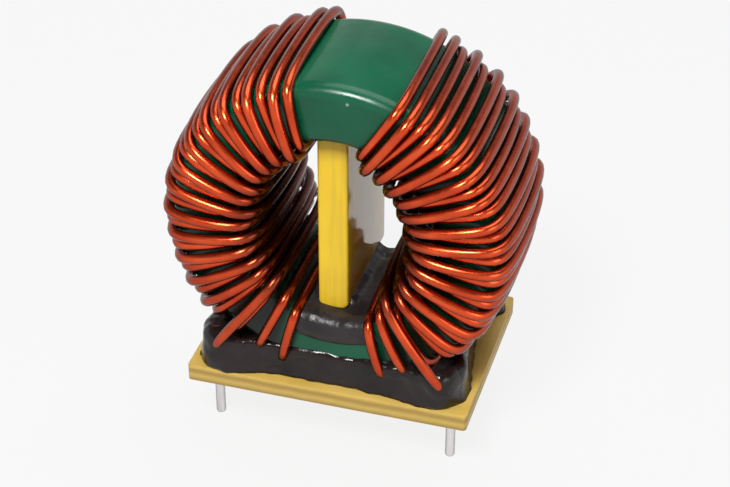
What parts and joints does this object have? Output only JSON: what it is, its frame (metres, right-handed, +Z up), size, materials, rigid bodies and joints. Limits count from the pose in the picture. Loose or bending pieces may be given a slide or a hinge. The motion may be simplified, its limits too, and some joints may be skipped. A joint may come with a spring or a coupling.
{
  "type": "toroidal inductor",
  "caption": "Upright toroidal inductor: a green coated ring core with red enamelled wire windings, a yellow divider in its hole and dark potting that bonds it to a pinned board.",
  "frame": {"origin": "centre of the pin pattern on the underside of the base board, which seats on a circuit board", "axes": "+Z up, away from the circuit board; +X along the board's long side, left winding to right winding; +Y from front to back, along the ring's axis"},
  "size_m": [0.047, 0.0281, 0.0553],
  "materials": {
    "laminate": "amber glass-fibre laminate, satin",
    "green_coat": "green coat, semi-gloss",
    "enamelled_wire": "red-brown enamel over copper, glossy",
    "yellow_divider": "yellow, satin",
    "dark_epoxy": "black-brown epoxy, glossy",
    "tinned_pin": "tinned, satin",
    "solder": "solder, satin"
  },
  "bodies": {
    "root": {"base_board": "laminate", "coated_core": "green_coat", "left_winding": "enamelled_wire", "right_winding": "enamelled_wire", "divider": "yellow_divider", "base_potting": "dark_epoxy", "hole_potting": "dark_epoxy", "pin_front_left": "tinned_pin", "pin_front_right": "tinned_pin", "pin_back_left": "tinned_pin", "pin_back_right": "tinned_pin", "solder_front_left": "solder", "solder_front_right": "solder", "solder_back_left": "solder", "solder_back_right": "solder"}
  },
  "joints": []
}
